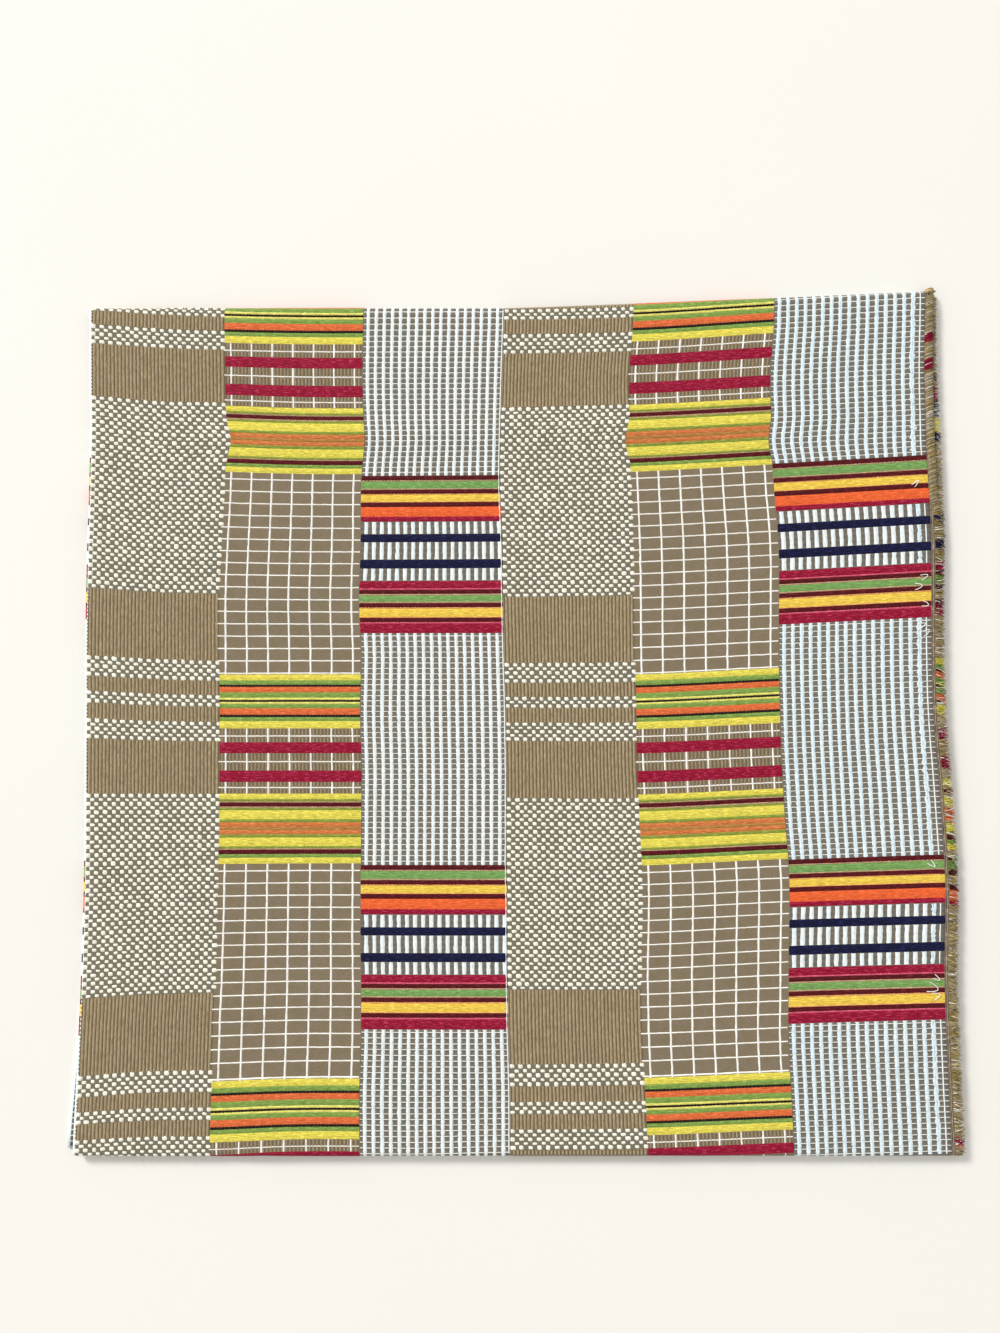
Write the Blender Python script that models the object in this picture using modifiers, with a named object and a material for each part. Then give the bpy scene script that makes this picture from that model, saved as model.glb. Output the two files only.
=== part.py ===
# Kente cloth: a two-yard length, doubled lengthwise and folded in three
#
# The cloth is one thin sheet. It is doubled so that its two selvedges lie together at +X and the
# doubling fold lies at -X, and the doubled length is then folded in three like a letter. From the
# underside up the panels are: bottom, inner, top. Each panel has two layers, so six lie in a stack.
# +X runs across the strips, +Y along them, +Z is up, and the underside rests at Z = 0.
# Lengths below are in millimetres, and they become metres where a point is placed.

import math
import random

import bmesh
import bpy
from mathutils import Matrix, Vector

MM = 0.001

# Sheet and stack
SHEET_THICKNESS = 1.0
LAYER_PITCH = 1.6                      # from the middle of one layer to the next
HALF_PITCH = LAYER_PITCH / 2
HALF_SHEET = SHEET_THICKNESS / 2

# Heights of the middle of each doubled panel
BOTTOM_HEIGHT = HALF_SHEET + HALF_PITCH
INNER_HEIGHT = BOTTOM_HEIGHT + 2 * LAYER_PITCH
TOP_HEIGHT = INNER_HEIGHT + 2 * LAYER_PITCH
STACK_HEIGHT = TOP_HEIGHT + HALF_PITCH + HALF_SHEET

# The two folds across the length, each turning about its own axis
NEAR_RADIUS = (TOP_HEIGHT - INNER_HEIGHT) / 2
NEAR_AXIS_HEIGHT = (TOP_HEIGHT + INNER_HEIGHT) / 2
FAR_RADIUS = (TOP_HEIGHT - BOTTOM_HEIGHT) / 2
FAR_AXIS_HEIGHT = (TOP_HEIGHT + BOTTOM_HEIGHT) / 2

# Outline seen from above
FAR_EDGE = 294.5                       # Y of the far fold over the left half
NEAR_EDGE = -311.0                     # Y of the near fold
FAR_RISE = 12.8                        # how much further the far fold lies at the selvedge
FAR_RISE_START = -8.0
FAR_RISE_LENGTH = 308.0
FAR_RISE_POWER = 1.15
TAPE_RISE = 3.0                        # the tape's own tip stands beyond the cloth's corner
TAPE_RISE_START = 300.0
TAPE_RISE_LENGTH = 12.0
INNER_END_SETBACK = 14.0               # cut end of the inner panel, short of the far fold
BOTTOM_END_SETBACK = 4.0               # cut end of the bottom panel, short of the near fold

# Lines along the length, as X at evenly spaced stations from LINE_TOP down to LINE_BOTTOM
LINE_TOP = 312.0
LINE_BOTTOM = -312.0
DOUBLING_LINE = (-312.5, -312.1, -312.1, -311.1, -309.9, -308.5, -307.4, -306.4, -306.8, -308.0, -309.6)
SELVEDGE_LINE = (300.6, 298.3, 298.5, 300.2, 298.6, 298.3, 301.7, 303.8, 301.6, 302.2, 303.6)

# How far each hidden edge strays from those lines, at six stations from top to bottom
EDGE_STRAY = {
    ("top", "doubling"): (0.0, 0.0, 0.0, 0.0, 0.0, 0.0),
    ("top", "outer"): (0.0, 0.0, 0.0, 0.0, 0.0, 0.0),
    ("top", "under"): (-1.0, 2.0, -0.5, -1.0, -0.5, -1.0),
    ("inner", "doubling"): (0.8, 0.6, 0.6, -1.0, -0.8, 0.5),
    ("inner", "outer"): (-1.5, -1.5, -2.0, -1.0, -1.5, -1.0),
    ("inner", "under"): (-1.0, -2.0, -1.5, -2.0, -1.0, -1.5),
    ("bottom", "doubling"): (0.6, -1.0, 0.4, 0.6, -1.5, -6.0),
    ("bottom", "outer"): (1.5, 2.0, -1.0, -1.5, -1.0, 1.0),
    ("bottom", "under"): (-1.0, -1.0, -2.0, -1.5, -2.0, -0.5),
}

# Soft swells that lift the whole stack: middle X and Y, half length, half width, heading, height
SWELLS = (
    {"x": -150, "y": 110, "long": 160, "wide": 75, "heading": 10, "height": 0.9},
    {"x": 165, "y": 20, "long": 190, "wide": 70, "heading": -15, "height": 0.8},
    {"x": 20, "y": -95, "long": 150, "wide": 70, "heading": 5, "height": -0.6},
    {"x": -60, "y": -245, "long": 260, "wide": 45, "heading": 0, "height": 0.7},
    {"x": 60, "y": 255, "long": 260, "wide": 45, "heading": 2, "height": 0.6},
)

# Creases that stand in the top panel alone
CREASES = (
    {"x": -15, "y": 204, "long": 225, "wide": 13, "heading": 1, "height": 1.8},
    {"x": -232, "y": -214, "long": 70, "wide": 14, "heading": 8, "height": 0.8},
)

# Fringe
PARTING = 0.45                         # clear gap between the cloth's edge and the tape
TAPE_WIDTH = 3.5
TAPE_THICKNESS = SHEET_THICKNESS       # so that the lowest locks rest level with the underside
TAIL_LENGTH = 6.2
TAIL_UNEVEN = 1.1
TAIL_TIP_SHARE = 0.62                  # width of a lock's tip as a share of its root
TAIL_LEAN = 0.12                       # how far a tip strays, as a share of the lock's width
LOCKS_A_PANEL = 33
LOCK_SHARE = 0.62                      # share of each pitch that a lock fills
FRINGE_SEED = 7

# Mesh stations
LAYER_CELLS = 12
DOUBLING_CELLS = 6
PANEL_CELLS = 14
NEAR_TURN_CELLS = 6
FAR_TURN_CELLS = 8
CREASE_STATIONS = (-26, -15, -7, 0, 7, 15, 26)
CLOSEST_STATIONS = 4.0
SIDE_START = 0.999                     # faces beyond this column are the tape's outer side
SHARE_TOLERANCE = 1e-6
SHARP_ANGLE = math.radians(50)

# Centre of the finished outline, taken off every point so that the origin lies under it
MIDDLE_X = -0.8
MIDDLE_Y = -1.2


def clear_scene():
    for item in list(bpy.data.objects):
        bpy.data.objects.remove(item, do_unlink=True)


def smooth_line(knots, share):
    # A smooth curve through evenly spaced knots, read at a share from 0 to 1
    last = len(knots) - 1
    place = min(max(share, 0.0), 1.0) * last
    start = min(int(place), last - 1)
    step = place - start
    here = knots[start]
    there = knots[start + 1]
    leave = (there - knots[max(start - 1, 0)]) / 2
    arrive = (knots[min(start + 2, last)] - here) / 2
    bend = 3 * (there - here) - 2 * leave - arrive
    twist = 2 * (here - there) + leave + arrive
    return here + leave * step + bend * step ** 2 + twist * step ** 3


def edge_x(panel, line, y):
    # X of one edge of one panel: its doubling fold, or the selvedge of its outer or under layer
    share = (LINE_TOP - y) / (LINE_TOP - LINE_BOTTOM)
    base = DOUBLING_LINE if line == "doubling" else SELVEDGE_LINE
    return smooth_line(base, share) + smooth_line(EDGE_STRAY[panel, line], share)


def far_edge(x):
    rise = FAR_RISE * max(0.0, (x - FAR_RISE_START) / FAR_RISE_LENGTH) ** FAR_RISE_POWER
    tip = min(max(0.0, (x - TAPE_RISE_START) / TAPE_RISE_LENGTH), 1.0)
    return FAR_EDGE + rise + TAPE_RISE * tip * tip * (3 - 2 * tip)


def far_axis(x):
    return far_edge(x) - FAR_RADIUS - HALF_PITCH - HALF_SHEET


def near_axis():
    return NEAR_EDGE + NEAR_RADIUS + HALF_PITCH + HALF_SHEET


def mound(form, x, y, power):
    heading = math.radians(form["heading"])
    dx = x - form["x"]
    dy = y - form["y"]
    lengthwise = dx * math.cos(heading) + dy * math.sin(heading)
    sideways = dy * math.cos(heading) - dx * math.sin(heading)
    fade = abs(lengthwise / form["long"]) ** power + (sideways / form["wide"]) ** 2
    return form["height"] * math.exp(-fade)


def swell(x, y):
    return sum(mound(form, x, y, 2) for form in SWELLS)


def crease(x, y):
    return sum(mound(form, x, y, 4) for form in CREASES)


def panel_y(panel, share, x):
    # Y along a panel; the share runs the way the cloth does, from its inner end to its bottom end
    if panel == "inner":
        start = far_edge(x) - INNER_END_SETBACK
        end = near_axis()
    elif panel == "top":
        start = near_axis()
        end = far_axis(x)
    else:
        start = far_axis(x)
        end = NEAR_EDGE + BOTTOM_END_SETBACK
    return start + (end - start) * share


def line_x(section, share, line):
    # X of an edge at a station of the cloth's length; through a fold it passes from panel to panel
    if section == "near turn":
        start = edge_x("inner", line, near_axis())
        return start + (edge_x("top", line, near_axis()) - start) * share
    if section == "far turn":
        start = edge_x("top", line, far_axis(0.0))
        return start + (edge_x("bottom", line, far_axis(0.0)) - start) * share
    # Along a panel each edge runs straight from station to station, so its tape can lie close to it
    start = min(int(share * PANEL_CELLS), PANEL_CELLS - 1)
    here = edge_x(section, line, panel_y(section, start / PANEL_CELLS, 0.0))
    there = edge_x(section, line, panel_y(section, (start + 1) / PANEL_CELLS, 0.0))
    return here + (there - here) * (share * PANEL_CELLS - start)


def spine(section, share, x):
    # Middle of the doubled cloth at a station: Y, Z and the direction out of its outer layer
    if section == "near turn":
        angle = math.pi * share
        out_y = -math.sin(angle)
        out_z = -math.cos(angle)
        return near_axis() + NEAR_RADIUS * out_y, NEAR_AXIS_HEIGHT + NEAR_RADIUS * out_z, out_y, out_z
    if section == "far turn":
        angle = math.pi * share
        out_y = math.sin(angle)
        out_z = math.cos(angle)
        return far_axis(x) + FAR_RADIUS * out_y, FAR_AXIS_HEIGHT + FAR_RADIUS * out_z, out_y, out_z
    y = panel_y(section, share, x)
    if section == "top":
        return y, TOP_HEIGHT, 0.0, 1.0
    return y, (INNER_HEIGHT if section == "inner" else BOTTOM_HEIGHT), 0.0, -1.0


def folded_point(along, across, depth):
    # One point of the cloth or its fringe: a station along, a station across and a depth in the sheet
    section, share = along
    part, place = across
    doubling = line_x(section, share, "doubling")
    radius = HALF_PITCH + depth
    if part == "turn":
        angle = math.pi * place
        x = doubling - radius * math.sin(angle)
        out = radius * math.cos(angle)
    elif part == "beyond outer" or part == "beyond under":
        x = line_x(section, share, part.split()[1]) + place
        out = radius if part == "beyond outer" else -radius
    else:
        x = doubling + (line_x(section, share, part) - doubling) * place
        out = radius if part == "outer" else -radius
    y, z, out_y, out_z = spine(section, share, x)
    y += out * out_y
    z += out * out_z
    z *= 1 + swell(x, y) / STACK_HEIGHT
    if section == "top":
        z += crease(x, y)
    return Vector(((x - MIDDLE_X) * MM, (y - MIDDLE_Y) * MM, z * MM))


def even_shares(cells):
    return [step / cells for step in range(cells + 1)]


def top_shares():
    # Even stations along the top panel, with more between them where its crease stands
    length = far_axis(0.0) - near_axis()
    crest = CREASES[0]["y"] - near_axis()
    even = even_shares(PANEL_CELLS)
    more = [(crest + offset) / length for offset in CREASE_STATIONS]
    clear = CLOSEST_STATIONS / length
    return sorted(even + [share for share in more if min(abs(share - other) for other in even) > clear])


def lock_shares():
    # Stations along a fringed panel, by turns the start and the end of each lock
    shares = [0.0]
    for lock in range(LOCKS_A_PANEL):
        start = (lock + (1 - LOCK_SHARE) / 2) / LOCKS_A_PANEL
        shares.append(start)
        shares.append(start + LOCK_SHARE / LOCKS_A_PANEL)
    shares.append(1.0)
    return shares


def stations_along(inner, top, bottom):
    rows = [("inner", share) for share in inner[:-1]]
    rows += [("near turn", share) for share in even_shares(NEAR_TURN_CELLS)[:-1]]
    rows += [("top", share) for share in top[:-1]]
    rows += [("far turn", share) for share in even_shares(FAR_TURN_CELLS)[:-1]]
    rows += [("bottom", share) for share in bottom]
    return rows


def stations_across():
    columns = [("outer", 1 - share) for share in even_shares(LAYER_CELLS)[:-1]]
    columns += [("turn", share) for share in even_shares(DOUBLING_CELLS)[:-1]]
    columns += [("under", share) for share in even_shares(LAYER_CELLS)]
    return columns


def flat_slab(name, columns, rows):
    # A flat slab whose X and Y count its stations, with a thickness of one unit
    cells_x = len(columns) - 1
    cells_y = len(rows) - 1
    mesh = bpy.data.meshes.new(name)
    form = bmesh.new()
    stretch = Matrix.Diagonal((cells_x, cells_y, 1.0, 1.0))
    to_counts = Matrix.Translation((cells_x / 2, cells_y / 2, 0.0)) @ stretch
    bmesh.ops.create_grid(form, x_segments=cells_x, y_segments=cells_y, size=0.5, matrix=to_counts)
    form.to_mesh(mesh)
    form.free()
    slab = bpy.data.objects.new(name, mesh)
    bpy.context.scene.collection.objects.link(slab)
    wall = slab.modifiers.new("thickness", "SOLIDIFY")
    wall.thickness = 1.0
    wall.offset = 0.0
    bpy.context.view_layer.update()
    solid = bpy.data.meshes.new_from_object(slab.evaluated_get(bpy.context.evaluated_depsgraph_get()))
    bpy.data.objects.remove(slab, do_unlink=True)
    solid.name = name
    return solid


def fold_points(points, columns, rows, thickness):
    for point in points:
        column = columns[round(point.co.x)]
        row = rows[round(point.co.y)]
        point.co = folded_point(row, column, point.co.z * thickness)


def finish_object(form, mesh, name, turned_over, finish, collection):
    # Folding a slab whose outer side comes to face down turns its faces inwards, so they are put back
    if turned_over:
        bmesh.ops.reverse_faces(form, faces=form.faces)
    form.to_mesh(mesh)
    form.free()
    mesh.materials.append(finish)
    item = bpy.data.objects.new(name, mesh)
    collection.objects.link(item)
    mesh.shade_smooth()
    mesh.set_sharp_from_angle(angle=SHARP_ANGLE)
    return item


def make_cloth(finish, collection):
    columns = stations_across()
    rows = stations_along(even_shares(PANEL_CELLS), top_shares(), even_shares(PANEL_CELLS))
    mesh = flat_slab("woven_cloth", columns, rows)
    form = bmesh.new()
    form.from_mesh(mesh)
    fold_points(form.verts, columns, rows, SHEET_THICKNESS)
    return finish_object(form, mesh, "woven_cloth", True, finish, collection)


def make_fringe(name, layer, finish, collection):
    # A narrow tape beside the selvedge, with a lock drawn out of every second stretch of its side
    columns = [(layer, PARTING), (layer, PARTING + TAPE_WIDTH)]
    rows = stations_along(lock_shares(), lock_shares(), lock_shares())
    mesh = flat_slab(name, columns, rows)
    form = bmesh.new()
    form.from_mesh(mesh)
    side = [face for face in form.faces if face.calc_center_median().x > SIDE_START]
    roots = [face for face in side if is_lock(rows, int(face.calc_center_median().y))]
    tips = bmesh.ops.extrude_discrete_faces(form, faces=roots)["faces"]
    tips.sort(key=lambda face: face.calc_center_median().y)
    drawn = {point for face in tips for point in face.verts}
    fold_points([point for point in form.verts if point not in drawn], columns, rows, TAPE_THICKNESS)
    draw = random.Random(FRINGE_SEED)
    for face in tips:
        draw_out_lock(face, rows, layer, draw)
    return finish_object(form, mesh, name, layer == "beyond under", finish, collection)


def is_lock(rows, count):
    section, start = rows[count]
    next_section, end = rows[count + 1]
    return section == next_section and abs(end - start - LOCK_SHARE / LOCKS_A_PANEL) < SHARE_TOLERANCE


def draw_out_lock(face, rows, layer, draw):
    count = int(face.calc_center_median().y)
    section, start = rows[count]
    end = rows[count + 1][1]
    reach = PARTING + TAPE_WIDTH + TAIL_LENGTH + draw.uniform(-TAIL_UNEVEN, TAIL_UNEVEN)
    lean = draw.uniform(-TAIL_LEAN, TAIL_LEAN) * (end - start)
    middle = (start + end) / 2
    for point in face.verts:
        root = start if round(point.co.y) == count else end
        share = middle + (root - middle) * TAIL_TIP_SHARE + lean
        point.co = folded_point((section, share), (layer, reach), point.co.z * TAPE_THICKNESS)


def make_material(name, colour, roughness):
    finish = bpy.data.materials.new(name)
    finish.use_nodes = True
    surface = finish.node_tree.nodes["Principled BSDF"]
    surface.inputs["Base Color"].default_value = (*colour, 1.0)
    surface.inputs["Roughness"].default_value = roughness
    surface.inputs["Metallic"].default_value = 0.0
    return finish


def main():
    clear_scene()
    collection = bpy.data.collections.new("kente_cloth")
    bpy.context.scene.collection.children.link(collection)
    cotton = make_material("patterned_cotton", (0.34, 0.27, 0.17), 0.85)
    tails = make_material("weft_tails", (0.30, 0.20, 0.11), 0.9)
    tails_under = make_material("weft_tails_under", (0.27, 0.18, 0.10), 0.9)
    make_cloth(cotton, collection)
    make_fringe("fringe_outer", "beyond outer", tails, collection)
    make_fringe("fringe_under", "beyond under", tails_under, collection)


main()
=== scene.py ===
# Folded length of kente cloth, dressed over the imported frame
#
# The weave is charted in millimetres: p runs across the strips from the doubling fold, and v runs
# along them from the far fold. Each raised yarn is placed on the chart and carried to the folded sheet.

import math

import bpy
import numpy as np
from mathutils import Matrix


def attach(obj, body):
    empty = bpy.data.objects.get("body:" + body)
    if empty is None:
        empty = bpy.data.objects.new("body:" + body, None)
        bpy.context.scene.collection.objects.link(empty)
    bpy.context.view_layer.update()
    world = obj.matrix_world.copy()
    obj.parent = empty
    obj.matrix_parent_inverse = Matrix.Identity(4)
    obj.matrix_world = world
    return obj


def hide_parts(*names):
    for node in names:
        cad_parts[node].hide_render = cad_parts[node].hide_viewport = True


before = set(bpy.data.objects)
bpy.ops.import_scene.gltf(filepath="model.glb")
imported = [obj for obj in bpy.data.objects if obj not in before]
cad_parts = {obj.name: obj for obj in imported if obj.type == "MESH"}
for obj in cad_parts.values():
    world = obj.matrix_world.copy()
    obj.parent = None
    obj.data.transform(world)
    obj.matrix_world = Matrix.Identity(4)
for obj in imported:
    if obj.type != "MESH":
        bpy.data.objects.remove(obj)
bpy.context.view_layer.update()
mm = 0.001
draw = np.random.default_rng(11)
print("frame loaded")

# The fold, as the part's source has it
fold = {
    "halfSheet": 0.5,
    "halfPitch": 0.8,
    "heights": {"bottom": 1.3, "inner": 4.5, "top": 7.7},
    "stackHeight": 9.0,
    "nearRadius": 1.6,
    "nearAxisHeight": 6.1,
    "farRadius": 3.2,
    "farAxisHeight": 4.5,
    "farEdge": 294.5,
    "farSlack": 2.7,  # the far fold's bulge beyond the solid's
    "nearEdge": -311.0,
    "farRise": 12.8,
    "farRiseStart": -8.0,
    "farRiseLength": 308.0,
    "farRisePower": 1.15,
    "tapeRise": 3.0,
    "tapeRiseStart": 300.0,
    "tapeRiseLength": 12.0,
    "innerEndSetback": 14.0,
    "bottomEndSetback": 4.0,
    "lineTop": 312.0,
    "lineBottom": -312.0,
    "middle": (-0.8, -1.2),
    "doublingLine": (-312.5, -312.1, -312.1, -311.1, -309.9, -308.5, -307.4, -306.4, -306.8, -308, -309.6),
    "selvedgeLine": (300.6, 298.3, 298.5, 300.2, 298.6, 298.3, 301.7, 303.8, 301.6, 302.2, 303.6),
    "edgeStray": {  # how far the other panels' edges stray from the top panel's
        ("top", "under"): (-1.0, 2.0, -0.5, -1.0, -0.5, -1.0),
        ("inner", "doubling"): (1.0, 2.8, 1.2, 0.8, 0.8, 1.2),
        ("inner", "outer"): (-1.5, -1.5, -2.0, -1.0, -1.5, -1.0),
        ("inner", "under"): (-1.0, -2.0, -1.5, -2.0, -1.0, -1.5),
        ("bottom", "doubling"): (-0.4, 1.4, 1.0, 0.2, -1.6, -6.4),
        ("bottom", "outer"): (1.5, 2.0, -1.0, -1.5, -1.0, 1.0),
        ("bottom", "under"): (-1.0, -1.0, -2.0, -1.5, -2.0, -0.5),
    },
    "swells": (  # x, y, half length, half width, heading in degrees, height
        (-150, 110, 160, 75, 10, 0.9),
        (165, 20, 190, 70, -15, 0.8),
        (20, -95, 150, 70, 5, -0.6),
        (-60, -245, 260, 45, 0, 0.7),
        (60, 255, 260, 45, 2, 0.6),
    ),
    "creases": (
        (-15, 204, 225, 13, 1, 1.8),
        (-232, -214, 70, 14, 8, 0.8),
    ),
}

nearAxis = fold["nearEdge"] + fold["nearRadius"] + fold["halfPitch"] + fold["halfSheet"]
farReach = fold["farRadius"] + fold["halfPitch"] + fold["halfSheet"]
nearArc = math.pi * (fold["nearRadius"] + fold["halfPitch"])  # of the outer layer, round the near fold
farArc = math.pi * (fold["farRadius"] + fold["halfPitch"])
nearRow = fold["farEdge"] - nearAxis  # row coordinate where the near fold starts


def smoothLine(knots, share):
    # a smooth curve through evenly spaced knots
    knots = np.asarray(knots, float)
    last = len(knots) - 1
    place = np.clip(share, 0, 1) * last
    start = np.minimum(place.astype(int), last - 1)
    step = place - start
    here = knots[start]
    there = knots[start + 1]
    leave = (there - knots[np.maximum(start - 1, 0)]) / 2
    arrive = (knots[np.minimum(start + 2, last)] - here) / 2
    bend = 3 * (there - here) - 2 * leave - arrive
    twist = 2 * (here - there) + leave + arrive
    return here + leave * step + bend * step ** 2 + twist * step ** 3


def throughKnots(stations, values, at):
    # a smooth curve through unevenly spaced stations, level beyond its ends
    stations = np.asarray(stations, float)
    values = np.asarray(values, float)
    at = np.clip(at, stations[0], stations[-1])
    start = np.clip(np.searchsorted(stations, at, side="right") - 1, 0, len(stations) - 2)
    gap = stations[start + 1] - stations[start]
    step = (at - stations[start]) / gap
    slopes = np.gradient(values, stations)
    leave = slopes[start] * gap
    arrive = slopes[start + 1] * gap
    climb = values[start + 1] - values[start]
    bend = 3 * climb - 2 * leave - arrive
    twist = leave + arrive - 2 * climb
    return values[start] + leave * step + bend * step ** 2 + twist * step ** 3


def edgeX(panel, line, y):
    share = (fold["lineTop"] - np.asarray(y, float)) / (fold["lineTop"] - fold["lineBottom"])
    base = fold["doublingLine"] if line == "doubling" else fold["selvedgeLine"]
    return smoothLine(base, share) + smoothLine(fold["edgeStray"].get((panel, line), (0, 0)), share)


def farEdge(x):
    rise = np.maximum(0, (x - fold["farRiseStart"]) / fold["farRiseLength"]) ** fold["farRisePower"]
    tip = np.clip((x - fold["tapeRiseStart"]) / fold["tapeRiseLength"], 0, 1)
    return fold["farEdge"] + fold["farRise"] * rise + fold["tapeRise"] * tip * tip * (3 - 2 * tip)


def farAxis(x):
    return farEdge(x) - farReach + fold["farSlack"]


def mound(form, x, y, power):
    middleX, middleY, long, wide, heading, height = form
    turn = math.radians(heading)
    lengthwise = (x - middleX) * math.cos(turn) + (y - middleY) * math.sin(turn)
    sideways = (y - middleY) * math.cos(turn) - (x - middleX) * math.sin(turn)
    return height * np.exp(-np.abs(lengthwise / long) ** power - (sideways / wide) ** 2)


def lift(x, y, z, onTop):
    # swells raise the whole stack, and creases stand in the top panel alone
    z = z * (1 + sum(mound(form, x, y, 2) for form in fold["swells"]) / fold["stackHeight"])
    return z + onTop * sum(mound(form, x, y, 4) for form in fold["creases"])


def worldPoints(x, y, z):
    return np.stack([x - fold["middle"][0], y - fold["middle"][1], z], axis=-1) * mm


# The chart: strips across and rows along, in millimetres
chart = {
    "repeat": 284.0,
    "stripRepeat": 302.0,
    "stripLines": (0, 96, 197.5, 302, 398, 499.5, 546.8, 590, 595.7, 604),  # p of the strips' lines
    "stripPlaces": (0, 96, 197.5, 302, 398, 499.5, 552.2, 602.8, 608, 611.5),  # how far from the fold
    "stripStarts": (0, 96, 197.5, 302, 398, 499.5, 604),
    "farLimit": 309.0,  # y beyond which the strips run straight
    "rowStart": {"dots": 259.8, "grid": 267.9, "stripes": 119.2},
}

# How far each strip line strays from its place, at stations down the cloth
wanderStations = (-306, -268, -231, -193, -154, -116, -78, -39, 0, 40, 80, 120, 161, 200, 242, 282)
wanderLines = (  # one row for each strip line, in the order of the stations
    (0, 0, 0, 0, 0, 0, 0, 0, 0, 0, 0.5, 1.2, 2.2, 2.4, 1.0, 0),
    (-1.0, -1.6, -1.7, -1.3, -1.3, -1.2, -0.6, -0.4, -0.1, -0.1, 0, 1.6, 4.2, 4.3, 3.6, 2.4),
    (2.4, 1.0, 1.5, 1.0, -0.6, -1.1, -0.6, -0.1, -0.6, 0.4, -0.6, 0.9, 2.0, 3.3, 2.6, 2.8),
    (3.6, 2.5, 1.4, 0.5, -0.7, -1.6, -1.2, -0.6, -0.3, -1.0, -1.5, -1.2, -1.4, -1.2, 0.5, 1.9),
    (4.0, 1.4, 0.1, -0.5, -0.7, -1.1, -2.2, -3.2, -2.4, -3.0, -2.5, -2.1, -1.7, -2.2, -2.5, 0.7),
    (4.8, 2.5, 1.6, 2.8, 2.5, 2.3, 0.2, -0.9, -0.8, -0.9, 0.4, 1.5, 0.8, -0.6, -0.5, 2.7),
    (3.2, 1.4, 1.4, 1.4, 1.3, 1.1, 0, -1.5, -2.6, -2.8, -1.8, 0, 1.2, -0.5, 0.6, 1.6),
)
lineKink = {"middle": 197.0, "half": 13.0, "heights": (0, 3.8, 1.2, 0, -4.0, -3.0, 0)}  # along the crease

# How far each row bows up from straight, at stations across and down the cloth
bowAcross = (-312, -263, -213, -163, -62, -12, 88, 185, 297)
bowDown = (-303, -258, -168, -63, -25, 32, 112, 212, 279)
bowRows = (
    (-5.5, -2.8, -2.1, 0, 0, 1.0, 2.0, 5.8, 9.0),
    (-6.5, -2.8, -1.7, 0, 0, 0, 1.1, 4.8, 8.0),
    (-5.5, -2.3, -1.0, 0, 0, 0, 0, 4.8, 8.0),
    (0, 0, 0, 0, 0, 0, 0, 4.2, 8.5),
    (2.5, 0.7, 0, 0, 0, 0, 0, 4.0, 9.0),
    (4.3, 1.5, 0, 0, 0, 0, 1.0, 5.5, 10.5),
    (6.0, 2.0, 0.8, 0, 0, 0.4, 2.0, 7.0, 13.1),
    (7.5, 3.0, 1.8, 0, 0, 0.5, 3.3, 8.5, 15.0),
    (6.5, 3.0, 1.0, 0, 0, 0, 2.0, 8.2, 15.0),
)

# How far each strip's rows lie towards the near fold from their even places
rowStations = (-12, 15, 60, 104, 148, 192, 236, 279, 320, 358,
               407, 443, 480, 500, 517, 545, 552, 574, 592, 606, 640)
rowShifts = (  # one row for each strip, in the order of the stations
    (0, -3.4, -3.0, -2.3, -2.2, -2.9, -1.8, -1.4, -2.5, -4.6,
     -4.5, -4.8, -5.0, -5.3, -2.5, 0.5, 0.8, 1.0, 0.8, 0.8, 0),
    (0, 3.1, 4.8, 4.3, 3.4, 1.6, 0.6, 0, 0.6, 0.6,
     0.6, -0.9, -3.0, -3.2, -3.2, -2.0, 0.4, 2.2, 3.4, 0.6, 0),
    (0, 4.5, 4.9, 4.6, 3.4, 3.8, 3.5, 3.6, 2.2, 0.2,
     0.5, 0.7, -0.3, -0.7, -0.7, -0.3, 0, 0.7, 0.7, 0.7, 0),
    (0, -2.0, -0.5, 0, 0, -0.7, 0, 0, -2.9, -1.6,
     -2.9, -4.3, -5.5, -6.2, -3.4, -1.8, -1.2, 0, -0.7, -0.7, 0),
    (0, 3.1, 5.5, 5.8, 4.1, 2.3, 0.6, 1.4, 0.7, 1.3,
     2.1, -0.3, -2.6, -2.8, -2.6, -1.0, 0.7, 2.1, 2.4, 1.0, 0),
    (0, 3.8, 3.9, 3.6, 3.5, 3.8, 3.5, 3.5, 2.8, 2.2,
     1.4, 0.4, 0.1, 0.4, 0.5, 0.4, 0.3, 0.2, 0, 0, 0),
)
stripKinds = ("dots", "grid", "stripes")


def wander(p, y):
    kink = np.exp(-((y - lineKink["middle"]) / lineKink["half"]) ** 2)
    lines = np.array([throughKnots(wanderStations, row, y) + height * kink
                      for row, height in zip(wanderLines, lineKink["heights"])])
    starts = np.asarray(chart["stripStarts"], float)
    strip = np.clip(np.searchsorted(starts, p, side="right") - 1, 0, len(starts) - 2)
    share = np.clip((p - starts[strip]) / (starts[strip + 1] - starts[strip]), 0, 1)
    column = np.arange(len(p))
    return lines[strip, column] * (1 - share) + lines[strip + 1, column] * share


def bow(x, y):
    rows = np.array([throughKnots(bowAcross, row, x) for row in bowRows])
    place = np.clip(np.interp(y, bowDown, range(len(bowDown))), 0, len(bowDown) - 1.001)
    start = place.astype(int)
    step = place - start
    step = step * step * (3 - 2 * step)
    column = np.arange(len(x))
    return rows[start, column] * (1 - step) + rows[start + 1, column] * step


def rowShift(strip, v):
    return np.interp(v, rowStations, rowShifts[strip])


def chartRow(strip, even):
    # the chart's row at an even place of a strip, which undoes rowShift
    stations = np.array(rowStations, float)
    return np.interp(even, stations + rowShifts[strip], stations, left=np.nan, right=np.nan)


def kindOf(strip):
    return stripKinds[strip % 3]


def outerPlace(p, y):
    # distance from the doubling fold to a place p on the chart, for the outer layer
    return np.interp(p, chart["stripLines"], chart["stripPlaces"]) + wander(p, y)


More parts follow.
